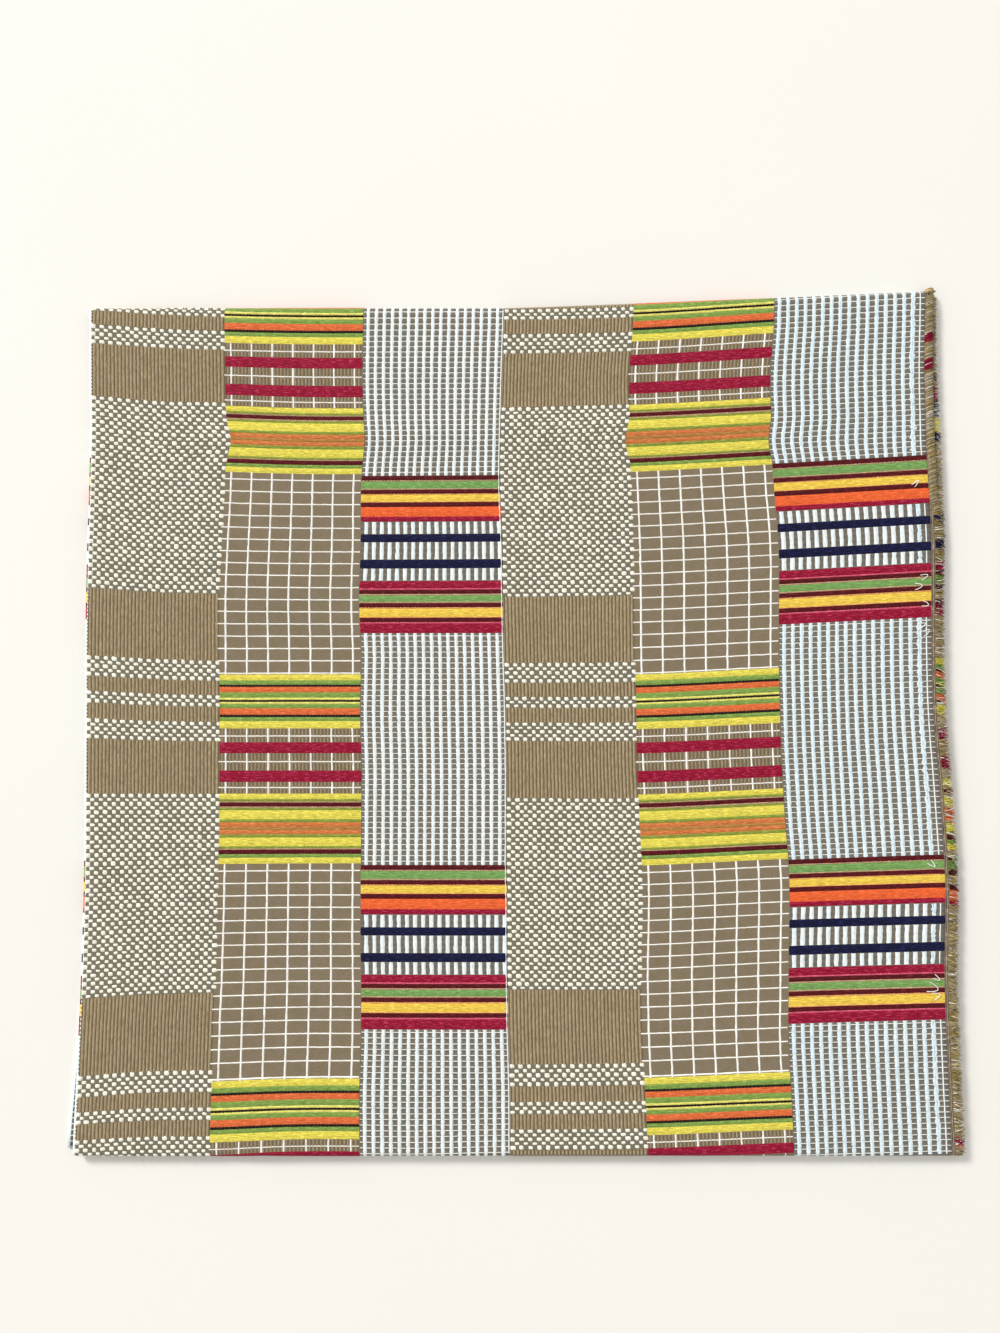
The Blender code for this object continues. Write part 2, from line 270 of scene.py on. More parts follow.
def wholePlace(y):
    # the place of the selvedge, which the strips are spread out to
    return outerPlace(np.full(len(y), chart["stripStarts"][-1]), y)


def topX(p, y):
    # the strips fill the panel from its doubling fold to its selvedge
    y = np.clip(y, nearAxis, chart["farLimit"])
    doubling = edgeX("top", "doubling", y)
    width = edgeX("top", "outer", y) - doubling
    return doubling + width * outerPlace(p, y) / wholePlace(y)


def topPoint(p, w, depth):
    # a point of the top panel's outer layer and of the folds at its ends, w being its row on the sheet
    y = np.clip(fold["farEdge"] - w, nearAxis, None)
    x = topX(p, y)
    farLimit = farAxis(x)
    y = np.minimum(y, farLimit)
    radius = fold["halfPitch"] + depth
    nearTurn = np.clip((w - nearRow) / nearArc * math.pi, 0, math.pi)
    farTurn = np.clip((fold["farEdge"] - farLimit - w) / farArc * math.pi, 0, math.pi)
    z = np.full(len(p), fold["heights"]["top"]) + radius
    nearSize = fold["nearRadius"] + radius
    farSize = fold["farRadius"] + radius
    z = np.where(nearTurn > 0, fold["nearAxisHeight"] + nearSize * np.cos(nearTurn), z)
    z = np.where(farTurn > 0, fold["farAxisHeight"] + farSize * np.cos(farTurn), z)
    y = y - nearSize * np.sin(nearTurn) + farSize * np.sin(farTurn)
    flat = (nearTurn <= 0) & (farTurn <= 0)
    return x, y, lift(x, y, z, flat)


def onCloth(strip, p, v, rise):
    # carries chart places in one strip to the top panel's surface, raised by rise millimetres
    shape = np.shape(p)
    p = np.ravel(p).astype(float)
    v = np.ravel(v).astype(float)
    even = v + rowShift(strip, v)
    w = even.copy()
    for _ in range(4):
        y = np.clip(fold["farEdge"] - w, nearAxis, None)
        x = topX(p, y)
        w = even - bow(x, y)
    x, y, z = topPoint(p, w, fold["halfSheet"] + np.ravel(rise))
    return worldPoints(x, y, z).reshape(*shape, 3)


# Shader maths
def mathNode(operation, flipped=False):
    # an operator of the class below, flipped where the wire stands second
    def operator(self, other):
        return self.sum(operation, other, self) if flipped else self.sum(operation, self, other)
    return operator


class Wire:
    # one socket of a material's tree; sums on it add the tree's Math nodes

    def __init__(self, tree, socket=None):
        self.tree = tree
        self.socket = socket

    def node(self, kind, settings=None, values=None, out=0):
        made = self.tree.nodes.new(kind)
        for name, value in (settings or {}).items():
            if name == "stops":
                ramp = made.color_ramp
                for _ in range(len(value) - 2):
                    ramp.elements.new(1.0)
                for element, (place, colour) in zip(ramp.elements, value):
                    element.position = place
                    element.color = (*colour, 1.0)
            elif name == "mode":
                made.color_ramp.interpolation = value
            else:
                setattr(made, name, value)
        for name, value in (values or {}).items():
            if isinstance(value, Wire):
                self.tree.links.new(value.socket, made.inputs[name])
            else:
                made.inputs[name].default_value = value
        return Wire(self.tree, made.outputs[out] if made.outputs else None)

    def sum(self, operation, first, second=0.0):
        return self.node("ShaderNodeMath", {"operation": operation}, {0: first, 1: second})

    __add__ = mathNode("ADD")
    __radd__ = mathNode("ADD", True)
    __sub__ = mathNode("SUBTRACT")
    __rsub__ = mathNode("SUBTRACT", True)
    __mul__ = mathNode("MULTIPLY")
    __rmul__ = mathNode("MULTIPLY", True)
    __truediv__ = mathNode("DIVIDE")
    __rtruediv__ = mathNode("DIVIDE", True)
    __mod__ = mathNode("FLOORED_MODULO")
    __gt__ = mathNode("GREATER_THAN")
    __lt__ = mathNode("LESS_THAN")

    def __abs__(self):
        return self.sum("ABSOLUTE", self)

    def floor(self):
        return self.sum("FLOOR", self)

    def wave(self):
        return self.sum("SINE", self)

    def fromMark(self, pitch):
        # distance from the nearest of the marks that stand pitch apart, the first at zero
        return abs((self / pitch + 0.5) % 1.0 - 0.5) * pitch

    def fromMiddle(self, pitch):
        # the same for marks half a pitch on
        return abs((self / pitch) % 1.0 - 0.5) * pitch

    def clamp(self):
        return self.node("ShaderNodeClamp", None, {0: self})

    def share(self, low, high):
        # 0 up to low, 1 from high on
        return self.node("ShaderNodeMapRange", {"clamp": True}, {0: self, 1: low, 2: high})

    def times(self, other):
        # for colours and vectors
        return self.node("ShaderNodeVectorMath", {"operation": "MULTIPLY"}, {0: self, 1: other})

    def parts(self):
        split = self.node("ShaderNodeSeparateXYZ", None, {0: self})
        return [Wire(self.tree, socket) for socket in split.socket.node.outputs]

    def between(self, low, high):
        return (self > low) * (self < high)

    def mix(self, *sides):
        # this value is the share of the second colour
        ground, over = [side if isinstance(side, Wire) else (*asColour(side), 1.0) for side in sides]
        return self.node("ShaderNodeMix", {"data_type": "RGBA"}, {0: self, 6: ground, 7: over}, 2)


def hexColour(text):
    # a colour as it is seen, turned to the linear values that the shaders use
    parts = [int(text[k:k + 2], 16) / 255 for k in (0, 2, 4)]
    return tuple(part / 12.92 if part <= 0.04045 else ((part + 0.055) / 1.055) ** 2.4 for part in parts)


yarns = {
    "khaki": "AC9C7D",
    # painted shade in the valleys between the dotted strips' ribs
    "khakiDark": "5F5036",
    "dotGround": "716C5B",
    "cream": "FFFCEE",
    "white": "FCFBF6",
    "blueWhite": "EAF4F5",
    "brown": "84765B",
    # darker brown of wear, and painted shade between the grid strips' fine ribs
    "brownDark": "5E5340",
    "stripBrown": "7B7366",
    "stripBrownDark": "5E5A52",
    "yellow": "EBDB57",
    "stripYellow": "F6CE4F",
    "pale": "F1E576",
    "green": "84A24B",
    "oliveGreen": "8B9A3C",
    "stripGreen": "7AA65A",
    "orange": "E56F3B",
    "stripOrange": "F46730",
    "tan": "B38241",
    "amber": "D67C42",
    "olive": "9A8746",
    "beige": "C99F80",
    "peach": "F0A66C",
    "crimson": "97052D",
    "maroon": "520810",
    "pink": "DE5C74",
    "navy": "0A0C31",
    "black": "1A120B",
    "mauve": "93807A",
    "straw": "CDB983",
    "lineCream": "FFFEFA",
}
yarns = {name: hexColour(text) for name, text in yarns.items()}


def asColour(value):
    # a yarn's name, a written colour or the values themselves
    if isinstance(value, str):
        return yarns[value] if value in yarns else hexColour(value)
    return value


gridBands = (
    ("yellow", 4.2), ("green", 3.3), ("black", 1.4), ("orange", 4.0), ("green", 3.9), ("pale", 1.5),
    ("black", 1.4), ("pale", 1.4), ("green", 3.1), ("orange", 4.6), ("black", 1.6), ("green", 2.9),
    ("yellow", 5.1), ("ribs", 9.7), ("crimson", 7.8), ("ribs", 12.3), ("crimson", 8.2), ("ribs", 8.3),
    ("yellow", 3.8), ("oliveGreen", 1.8), ("beige", 0.6), ("maroon", 3.0), ("beige", 0.8),
    ("oliveGreen", 1.7), ("yellow", 6.4), ("oliveGreen", 2.1), ("amber", 3.4), ("tan", 2.0), ("amber", 3.2),
    ("oliveGreen", 2.2), ("yellow", 6.1), ("oliveGreen", 1.7), ("beige", 0.6), ("maroon", 3.2),
    ("green", 2.5), ("yellow", 4.2),
)
stripeBands = (
    ("maroon", 3.5), ("beige", 0.6), ("stripGreen", 5.7), ("beige", 0.7), ("maroon", 3.3), ("peach", 0.4),
    ("stripYellow", 5.5), ("peach", 0.4), ("maroon", 3.5), ("stripOrange", 7.2), ("crimson", 3.6),
    ("uprights", 9.5), ("navy", 5.2), ("uprights", 13.2), ("navy", 5.8), ("uprights", 9.5),
    ("crimson", 5.4), ("pink", 0.9), ("maroon", 3.2), ("beige", 0.8), ("stripGreen", 4.9), ("beige", 0.8),
    ("maroon", 3.3), ("peach", 0.6), ("stripYellow", 6.3), ("peach", 0.5), ("maroon", 3.3), ("pink", 0.9),
    ("crimson", 7.1),
)
dotBands = (
    ("dots", 14.5), ("ribs", 10.2), ("dots", 8.7), ("ribs", 10.9), ("dots", 14.5), ("ribs", 39.2),
    ("dots", 139.2), ("ribs", 46.8),
)
bandsOf = {"dots": dotBands, "grid": gridBands, "stripes": stripeBands}


def placedBands(kind):
    # (yarn, start, end) of each band from the repeat's own start
    placed = []
    at = 0.0
    for yarn, height in bandsOf[kind]:
        placed.append((yarn, at, at + height))
        at += height
    return placed


# Rows that show above the floor on the top panel and round its two folds
shownRows = {"low": -7.0, "high": 612.0}


def bandsShown(kind):
    # every band of a kind of strip that has rows among those
    low, high = shownRows["low"], shownRows["high"]
    start = chart["rowStart"][kind]
    first = math.floor((low - start) / chart["repeat"]) - 1
    shown = []
    for turn in range(first, first + 6):
        base = start + turn * chart["repeat"]
        shown += [(yarn, base + a, base + b) for yarn, a, b in placedBands(kind)]
    return [band for band in shown if band[2] > low and band[1] < high]


def clippedBands(kind):
    # (yarn, start, end) of each of them, cut off where the shown rows end
    low, high = shownRows["low"], shownRows["high"]
    return [(yarn, max(a, low), min(b, high)) for yarn, a, b in bandsShown(kind)]


def openRows(kind):
    # (start, shown start, shown end) of each run of rows between two sets of bands
    total = placedBands(kind)[-1][2]
    runs = []
    for turn in (-1, 0, 1):
        start = chart["rowStart"][kind] + total + turn * chart["repeat"]
        low = max(start, shownRows["low"])
        high = min(start + chart["repeat"] - total, shownRows["high"])
        if low < high:
            runs.append((start, low, high))
    return runs


stripePitch = 5.95
stripeFirst = 3.4
gridPitch = 15.2
gridFirst = 4.5
gridRow = 9.0
gridRowFirst = 5.1
crossPitch = 3.9
ribPitch = 2.62
ribFirst = 2.41
dotPitch = 6.2
dotFirst = 1.7
dotRow = 2.9
ribLines = {9.7: 5.4, 12.3: 6.1, 8.3: 4.0}  # where the white line lies in each ribbed gap

# Half widths of the marks that the sheet's own material draws where no raised yarn lies
marks = {
    "dotHalf": 1.75,
    "dotTall": 1.45,
    "dotLess": 0.4,  # how much lower the small dots are
    "gridHalf": 0.55,
    "crossHalf": 0.42,
    "stripeHalf": 1.4,
    "tickHalf": 0.32,
}

# How the cloth, the yarns and the floor take the light
looks = {
    "cloth": {"Roughness": 0.88, "Sheen Weight": 0.15, "Sheen Roughness": 0.5, "Specular IOR Level": 0.25},
    "clothBump": {"Strength": 0.5, "Distance": 0.0004},
    "yarn": {"Roughness": 0.8, "Sheen Weight": 0.05, "Sheen Roughness": 0.45, "Specular IOR Level": 0.2},
    "yarnBump": {"Strength": 0.45, "Distance": 0.0003},
    "floor": {"Roughness": 0.9, "Specular IOR Level": 0.1},
}


def newFinish(name):
    finish = bpy.data.materials.new(name)
    finish.use_nodes = True
    finish.node_tree.nodes.clear()
    return finish, Wire(finish.node_tree)


def coat(tools, values):
    surface = tools.node("ShaderNodeBsdfPrincipled", None, values)
    tools.node("ShaderNodeOutputMaterial", None, {0: surface})


def softNoise(tools, vector, scale, detail=2.0):
    return tools.node("ShaderNodeTexNoise", None, {"Vector": vector, "Scale": scale, "Detail": detail})


def chartRamp(tools, row, bands, low, high):
    # one ramp holds the bands between low and high, each with its own hard edge
    stops = [(0.0, yarns["brown"])]
    for yarn, start, end in bands:
        if low <= start < high:
            stops.append(((start - low) / (high - low), yarns.get(yarn, yarns["brown"])))
    stops = stops[1:] if len(stops) > 1 and stops[1][0] < 0.001 else stops
    share = (row - low) / (high - low)
    return tools.node("ShaderNodeValToRGB", {"mode": "CONSTANT", "stops": stops}, {"Fac": share})


def bandColours(tools, row, kind):
    # the colours of a kind's bands, its gaps without colour, and where its bands end
    bands = placedBands(kind)
    gaps = [(start, end) for name, start, end in bands if name not in yarns]
    cuts = (gaps[0][0], gaps[-1][1], bands[-1][2])  # one ramp can't hold all the bands
    colour = chartRamp(tools, row, bands, 0.0, cuts[0] + 0.01)
    for low, high in zip(cuts, cuts[1:]):
        colour = (row > low).mix(colour, chartRamp(tools, row, bands, low, high))
    return colour, gaps, bands[-1][2]


def wovenFinish():
    # the whole chart, for every panel: grounds, bands, dots, grid lines and stripes
    finish, tools = newFinish("woven_chart")
    place = tools.node("ShaderNodeAttribute", {"attribute_name": "weave"}, None, "Vector")
    across, along, flatWeave = place.parts()  # the last is 0 where raised yarns lie on the sheet
    strip = across % chart["stripRepeat"]
    gridStart, stripeStart = chart["stripStarts"][1:3]
    rows = {kind: (along - chart["rowStart"][kind]) % chart["repeat"] for kind in stripKinds}

    grain = softNoise(tools, place, 1.3, 3.0)
    cloud = softNoise(tools, place, 0.03)
    ribWave = ((strip - ribFirst + ribPitch / 4) * (2 * math.pi / ribPitch)).wave() * 0.5 + 0.5
    fineWeft = (along * (2 * math.pi / 0.9)).wave() * 0.5 + 0.5

    # dotted strip
    row = rows["dots"]
    dotted = 0.0
    local = row
    for name, start, end in placedBands("dots"):
        if name == "dots":
            here = row.between(start, end)
            dotted = here + dotted
            local = local - here * start
    step = (local / dotRow).floor()
    odd = step % 2.0
    dotX = (strip - dotFirst + odd * (0.5 * dotPitch)).fromMark(dotPitch)
    dotY = local.fromMiddle(dotRow)
    dot = (dotX < marks["dotHalf"]) * (dotY < marks["dotTall"] - odd * marks["dotLess"])
    dot = dot * dotted * (strip < gridStart) * flatWeave
    # painted shade: the ground darkens from khaki to a darker khaki in the valleys between the ribs, and is
    # lightest on their crowns
    ribShadedGround = ribWave.mix("khakiDark", "khaki")
    dotGround = dotted.mix(ribShadedGround, "dotGround")
    dotStrip = dot.mix(dotGround, "cream")

    # grid strip
    row = rows["grid"]
    column = strip - gridStart
    colour, gaps, total = bandColours(tools, row, "grid")
    plain = row > total
    ribbed = sum(row.between(start, end) for start, end in gaps)
    patch = softNoise(tools, place, 0.16).share(0.42, 0.6)
    worn = grain.share(0.4, 0.62)
    ground = (patch * 0.3).mix("brown", "mauve")
    # darker brown: random wear from the grain noise, and painted shade in the valleys between the fine ribs
    # of the ribbed rows
    ground = (worn * 0.5 + ribWave * ribbed * 0.5).mix(ground, "brownDark")
    open_ = plain + ribbed
    upright = (column - gridFirst).fromMark(gridPitch) < marks["gridHalf"]
    crossing = ((row - total - gridRowFirst).fromMark(gridRow) < marks["crossHalf"]) * plain
    for start, end in gaps:
        middle = start + ribLines[round(end - start, 1)]
        crossing = crossing + (abs(row - middle) < marks["crossHalf"])
    line = ((upright * open_ + crossing) * flatWeave).clamp()
    gridStrip = line.mix(open_.mix(colour, ground), "white")

    # striped strip
    row = rows["stripes"]
    column = strip - stripeStart
    colour, gaps, total = bandColours(tools, row, "stripes")
    plain = row > total
    open_ = plain + sum(row.between(start, end) for start, end in gaps)
    upright = (column - stripeFirst).fromMark(stripePitch) < marks["stripeHalf"]
    crossing = ((row - total).fromMiddle(crossPitch) < marks["tickHalf"]) * plain
    line = ((upright + crossing) * open_ * flatWeave).clamp()
    cell = (along * (2 * math.pi / crossPitch)).wave() * 0.25 + 0.25 + grain * 0.5
    cell = cell.mix("stripBrownDark", "stripBrown")
    ground = line.mix(cell, "blueWhite")
    stripeStrip = open_.mix(colour, ground)

    colour = (strip > gridStart).mix(dotStrip, gridStrip)
    colour = (strip > stripeStart).mix(colour, stripeStrip)
    tint = tools.node("ShaderNodeMapRange", None, {0: cloud, 3: 0.93, 4: 1.07}) * (0.9 + 0.2 * grain)
    colour = colour.times(tint)

    height = ribWave * (1 - dotted) * (strip < gridStart)
    height = height * 0.5 + fineWeft * 0.25 + grain * 0.5
    bump = tools.node("ShaderNodeBump", None, {**looks["clothBump"], "Height": height})
    coat(tools, {"Base Color": colour, "Normal": bump, **looks["cloth"]})
    return finish


def yarnFinish(name, colour, fleck, dark, share=0.5, across=True):
    # spun cotton: long streaks along the yarn, flecks, and fine twist; the darker colour shows in the low
    # streaks, which is the yarn's own uneven tone, and as painted shade in the grooves between its threads
    # and along its twist
    finish, tools = newFinish(name)
    place = tools.node("ShaderNodeAttribute", {"attribute_name": "weave"}, None, "Vector")
    stretch = (0.2, 1.4, 1.0) if across else (1.8, 0.3, 1.0)
    drawn = place.times(stretch)
    streak = softNoise(tools, drawn, 0.9, 3.0)
    flecks = softNoise(tools, drawn, 1.15, 1.0)
    cloud = softNoise(tools, place, 0.05)
    p, v, _ = place.parts()
    twist = ((p * 5.2 + v * 2.6) if across else (p * 2.6 + v * 5.2)).wave()
    threads = ((v if across else p) * 5.6 + streak * 3.0).wave() * 0.5 + 0.5
    # the darker colour follows the yarn's own streaks, and is painted shade in the grooves between its
    # threads and along its twist
    shade = streak.share(0.36, 0.62) * 0.7 + threads * 0.25 + twist * 0.1 + 0.05
    seen = flecks.share(0.56, 0.64)
    body = shade.clamp().mix(dark, colour)
    body = (seen * share).mix(body, fleck)
    body = body.times(0.94 + 0.16 * cloud)
    bump = tools.node("ShaderNodeBump", None, {**looks["yarnBump"], "Height": twist * 0.25 + streak})
    coat(tools, {"Base Color": body, "Normal": bump, **looks["yarn"]})
    return finish


def gridFaces(count, rows, columns):
    # corner numbers of the faces of count patches, each rows by columns of points
    base = np.arange(rows * columns).reshape(rows, columns)
    quads = np.stack([base[:-1, :-1], base[1:, :-1], base[1:, 1:], base[:-1, 1:]], axis=-1).reshape(-1, 4)
    return (quads[None] + np.arange(count)[:, None, None] * rows * columns).reshape(-1, 4)


def makeMesh(name, points, faces, weave, finishes, faceFinish=None):
    mesh = bpy.data.meshes.new(name)
    faces = np.asarray(faces, np.int32)
    mesh.vertices.add(len(points))
    mesh.vertices.foreach_set("co", np.asarray(points, np.float32).ravel())
    mesh.loops.add(faces.size)
    mesh.loops.foreach_set("vertex_index", faces.ravel())
    mesh.polygons.add(len(faces))
    mesh.polygons.foreach_set("loop_start", np.arange(0, faces.size, 4, dtype=np.int32))
    mesh.update(calc_edges=True)
    placed = mesh.attributes.new("weave", "FLOAT_VECTOR", "CORNER")
    placed.data.foreach_set("vector", np.asarray(weave, np.float32).ravel())
    for finish in finishes:
        mesh.materials.append(finish)
    if faceFinish is not None:
        mesh.polygons.foreach_set("material_index", np.asarray(faceFinish, np.int32))
    mesh.shade_smooth()
    mesh.validate()
    item = bpy.data.objects.new(name, mesh)
    bpy.context.scene.collection.objects.link(item)
    return item


class Patches:
    # gathers raised patches and tubes into one piece

    def __init__(self):
        self.points = []
        self.faces = []
        self.weave = []
        self.finish = []
        self.count = 0

    def keep(self, points, faces, weave, finish):
        # weave has a row for each point, and finish is one number or one for each face
        self.points.append(points)
        self.weave.append(weave[faces.ravel()])
        self.faces.append(faces + self.count)
        self.finish.append(np.broadcast_to(finish, len(faces)))
        self.count += len(points)

    def add(self, strip, p, v, rise, finish=0):
        # p, v and rise have the shape (patches, rows, columns)
        order = np.broadcast_to(np.arange(len(p))[:, None, None] * 0.37, p.shape)
        weave = np.stack([p, v, order], axis=-1).reshape(-1, 3)
        self.keep(onCloth(strip, p, v, rise).reshape(-1, 3), gridFaces(*p.shape), weave, finish)

    def build(self, name, finishes):
        item = makeMesh(name, np.concatenate(self.points), np.concatenate(self.faces),
                        np.concatenate(self.weave), finishes, np.concatenate(self.finish))
        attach(item, "root")
        print(name, len(item.data.polygons) * 2, "triangles")
        return item


def yarnTubes(centres, radii, sides=3, level=1):
    # tubes round many centrelines of the same number of points; level is the axis that none runs along
    count, rings = centres.shape[:2]
    tangent = np.gradient(centres, axis=1)
    tangent /= np.linalg.norm(tangent, axis=-1, keepdims=True) + 1e-12
    aside = np.zeros_like(tangent)
    aside[..., level] = 1
    aside -= (aside * tangent).sum(-1, keepdims=True) * tangent
    aside /= np.linalg.norm(aside, axis=-1, keepdims=True) + 1e-9
    upright = np.cross(tangent, aside)
    turns = np.arange(sides) * 2 * math.pi / sides
    ring = aside[:, :, None] * np.cos(turns)[:, None] + upright[:, :, None] * np.sin(turns)[:, None]
    points = centres[:, :, None] + ring * radii[:, :, None, None]
    base = np.arange(rings * sides).reshape(rings, sides)
    step = np.roll(base, -1, axis=1)
    quads = np.stack([base[:-1], step[:-1], step[1:], base[1:]], axis=-1).reshape(-1, 4)
    faces = (quads[None] + np.arange(count)[:, None, None] * rings * sides).reshape(-1, 4)
    return points.reshape(-1, 3), faces


# The folded sheet
cloth = {
    "stripCells": (14, 15, 15, 14, 15, 16),
    "turnCells": 8,
    "underCells": 60,
    "innerCells": 46,
    "nearTurnCells": 10,
    "topCells": 150,
    "farTurnCells": 12,
    "bottomCells": 46,
    "foldShift": 4.0,  # how far the doubling fold of the hidden panels lies inside the last strip
    "foldShiftFade": 60.0,
    "turnWidth": 2.5,  # of the doubling fold and of the under layer, on the chart
    "underWidth": 609.0,
    "flat": (1.225, 1.80),
}


def sheetColumns():
    # (part, p, place, strip) of each column from the outer selvedge round to the under selvedge
    columns = []
    starts = chart["stripStarts"]
    for strip in range(5, -1, -1):
        cells = cloth["stripCells"][strip]
        for step in range(cells):
            p = starts[strip + 1] + (starts[strip] - starts[strip + 1]) * step / cells
            columns.append(("outer", p, strip))
    for step in range(cloth["turnCells"]):
        columns.append(("turn", step / cloth["turnCells"], 0))
    for step in range(cloth["underCells"] + 1):
        columns.append(("under", step / cloth["underCells"], -1))
    return columns


def sheetRows():
    rows = []
    for section, name in (("inner", "innerCells"), ("near turn", "nearTurnCells"), ("top", "topCells"),
                          ("far turn", "farTurnCells"), ("bottom", "bottomCells")):
        rows += [(section, step / cloth[name]) for step in range(cloth[name])]
    return rows + [("bottom", 1.0)]


def stationY(section, share, x, y):
    # how far along the cloth a station of a section lies
    far = farAxis(x)
    if section == "inner":
        start = farEdge(x) - fold["innerEndSetback"]
        return start + (nearAxis - start) * share
    if section == "top":
        return nearAxis + (far - nearAxis) * share
    if section == "bottom":
        return far + (fold["nearEdge"] + fold["bottomEndSetback"] - far) * share
    return far if section == "far turn" else y


def sheetRow(section, share, x, y):
    # its row on the sheet, as the chart counts them
    far = farAxis(x)
    if section == "inner":
        return nearRow + nearArc + (y - nearAxis)
    if section == "near turn":
        return nearRow + nearArc * (1 - share) + 0 * y
    if section == "far turn":
        return fold["farEdge"] - far - farArc * share
    if section == "bottom":
        return fold["farEdge"] - far - farArc - (far - y)
    return fold["farEdge"] - y


def outwards(section, share, x, y, far, out):
    # y and z at a distance out from the middle of a station's panel or fold
    angle = math.pi * share
    if section == "near turn":
        size = fold["nearRadius"] + out
        y = nearAxis - size * np.sin(angle)
        z = fold["nearAxisHeight"] - size * np.cos(angle)
    elif section == "far turn":
        size = fold["farRadius"] + out
        y = far + size * np.sin(angle)
        z = fold["farAxisHeight"] + size * np.cos(angle)
    else:
        z = fold["heights"][section] + (out if section == "top" else -out)
    return y, lift(x, y, z, section == "top")


def lineX(section, share, line, y):
    # x of a doubling fold or a selvedge at a station
    if section == "near turn":
        start = edgeX("inner", line, nearAxis)
        return start + (edgeX("top", line, nearAxis) - start) * share + 0 * y
    if section == "far turn":
        start = edgeX("top", line, y)
        return start + (edgeX("bottom", line, y) - start) * share
    return edgeX(section, line, y)


def makeCloth():
    columns = sheetColumns()
    rows = sheetRows()
    kinds = np.array([column[0] for column in columns])
    outer = kinds == "outer"
    turn = kinds == "turn"
    under = kinds == "under"
    place = np.array([column[1] for column in columns], float)
    strips = np.array([column[2] for column in columns])
    turnWidth, underWidth = cloth["turnWidth"], cloth["underWidth"]
    grids = {1: [], -1: []}
    even = []
    for section, share in rows:
        if section == "inner":
            guess = fold["farEdge"] - fold["innerEndSetback"] + (nearAxis - fold["farEdge"]) * share
        elif section == "top":
            guess = nearAxis + (farAxis(0.0) - nearAxis) * share
        elif section == "bottom":
            guess = farAxis(0.0) + (fold["nearEdge"] - farAxis(0.0)) * share
        else:
            guess = nearAxis if section == "near turn" else farAxis(0.0)
        y = np.full(len(columns), float(guess))
        for _ in range(3):
            doubling = lineX(section, share, "doubling", y)
            outerX = lineX(section, share, "outer", y)
            underX = lineX(section, share, "under", y)
            near = np.clip(y, nearAxis, chart["farLimit"])
            whole = wholePlace(near)
            fill = outerPlace(np.where(outer, place, 0.0), near) / whole
            foldX = doubling
            if section == "top":
                foldX = doubling + (outerX - doubling) * outerPlace(np.zeros(len(y)), near) / whole
            x = np.where(outer, doubling + (outerX - doubling) * fill, foldX)
            x = np.where(under, foldX + (underX - foldX) * place, x)
            y = stationY(section, share, x, y)
        w = sheetRow(section, share, x, y)
        for side in (1, -1):
            radius = fold["halfPitch"] + side * fold["halfSheet"]
            angle = math.pi * place
            out = np.where(outer, radius, np.where(turn, radius * np.cos(angle), -radius))
            sideX = x - np.where(turn, radius * np.sin(angle), 0.0)
            sideY, z = outwards(section, share, sideX, y, farAxis(x), out)
            grids[side].append(worldPoints(sideX, sideY, z))
        p = np.where(outer, place, np.where(turn, -place * turnWidth, -turnWidth - place * underWidth))
        hidden = {"inner": w - nearRow - nearArc, "bottom": -w - farArc}.get(section, 0 * w)
        p = p - cloth["foldShift"] * np.clip(hidden / cloth["foldShiftFade"], 0, 1)
        bowed = w + bow(x, y)
        plain = np.where(outer, 0.0, 1.0) if section == "top" else np.ones(len(columns))
        if section == "near turn" and share > 0.5 or section == "far turn" and share < 0.5:
            plain = np.where(outer, 0.0, 1.0)
        even.append(np.stack([p, bowed, plain], axis=-1))
    even = np.array(even)
    columnCount = len(columns)
    points = np.concatenate([np.array(grids[1]).reshape(-1, 3), np.array(grids[-1]).reshape(-1, 3)])
    base = np.arange(len(rows) * columnCount).reshape(len(rows), columnCount)
    shown = np.stack([base[:-1, :-1], base[:-1, 1:], base[1:, 1:], base[1:, :-1]], axis=-1).reshape(-1, 4)
    hiddenSide = shown[:, ::-1] + base.size
    rims = []
    for edge in (base[0], base[-1][::-1], base[:, 0][::-1], base[:, -1]):
        rims.append(np.stack([edge[:-1], edge[:-1] + base.size, edge[1:] + base.size, edge[1:]], axis=-1))
    faces = np.concatenate([shown, hiddenSide, *rims])
    corners = faces.ravel()
    weave = np.tile(even.reshape(-1, 3), (2, 1))[corners]
    weave[len(shown) * 4:, 2] = 1.0  # only the outer side of the top panel carries raised yarns
    # each strip's rows have their own shift, so a strip's faces take it from their own strip
    columnOf = corners.reshape(-1, 4) % columnCount
    faceColumn = columnOf.min(axis=1)
    faceStrip = np.where(strips[faceColumn] >= 0, strips[faceColumn], 2)
    for strip in range(6):
        chosen = np.repeat(faceStrip == strip, 4)
        bowed = weave[chosen, 1]
        v = chartRow(strip, bowed)
        weave[chosen, 1] = np.where(np.isnan(v), bowed, v)
    item = makeMesh("kente_cloth", points, faces, weave, [wovenFinish()])
    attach(item, "root")
    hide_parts("woven_cloth")
    print("cloth", len(faces) * 2, "triangles")
    return item


kenteCloth = makeCloth()


def profile(shares, crown):
    # height over a yarn: its two edges are sunk a little into the sheet
    return crown * (1 - np.abs(shares) ** 2.6) - 0.08


# Cream dots of the dotted strips
dots = {"big": (1.7, 1.44), "small": (1.62, 1.08), "crown": 0.6, "stray": 0.15, "uneven": 0.1}


